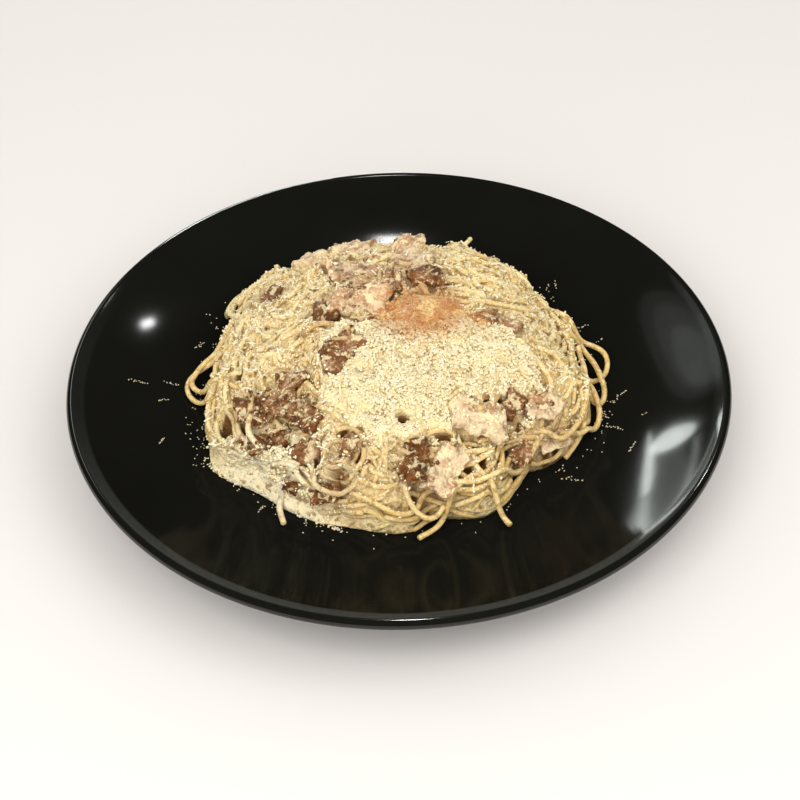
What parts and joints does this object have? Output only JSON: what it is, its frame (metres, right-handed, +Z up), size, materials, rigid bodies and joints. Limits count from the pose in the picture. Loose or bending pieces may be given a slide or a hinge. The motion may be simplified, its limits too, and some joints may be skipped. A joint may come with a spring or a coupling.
{
  "type": "spaghetti carbonara",
  "caption": "Spaghetti carbonara heaped on a round black coupe plate, with diced bacon, egg yolk and grated cheese on top.",
  "frame": {"origin": "centre of the plate's foot ring, on the surface that it stands on", "axes": "+Z up; the eater sits at -Y, and +X is to the eater's right"},
  "size_m": [0.26, 0.26, 0.0579],
  "materials": {
    "plate_glaze": "glossy black glazed ceramic",
    "pasta": "cooked egg-coated spaghetti, moist and pale yellow",
    "cheese": "finely grated hard cheese, matt and cream",
    "yolk": "raw egg yolk, glossy orange",
    "bacon": "fried bacon with pale fat, pink meat and browned edges"
  },
  "bodies": {
    "root": {"plate": "plate_glaze", "spaghetti_heap": "pasta", "egg_yolk": "yolk", "grated_cheese": "cheese", "bacon_01": "bacon", "bacon_02": "bacon", "bacon_03": "bacon", "bacon_04": "bacon", "bacon_05": "bacon", "bacon_06": "bacon", "bacon_07": "bacon", "bacon_08": "bacon", "bacon_09": "bacon", "bacon_10": "bacon", "bacon_11": "bacon", "bacon_12": "bacon", "bacon_13": "bacon", "bacon_14": "bacon", "bacon_15": "bacon", "bacon_16": "bacon", "bacon_17": "bacon", "bacon_18": "bacon", "bacon_19": "bacon", "bacon_20": "bacon", "bacon_21": "bacon", "bacon_22": "bacon", "bacon_23": "bacon", "bacon_24": "bacon", "bacon_25": "bacon", "bacon_26": "bacon", "bacon_27": "bacon"}
  },
  "joints": []
}
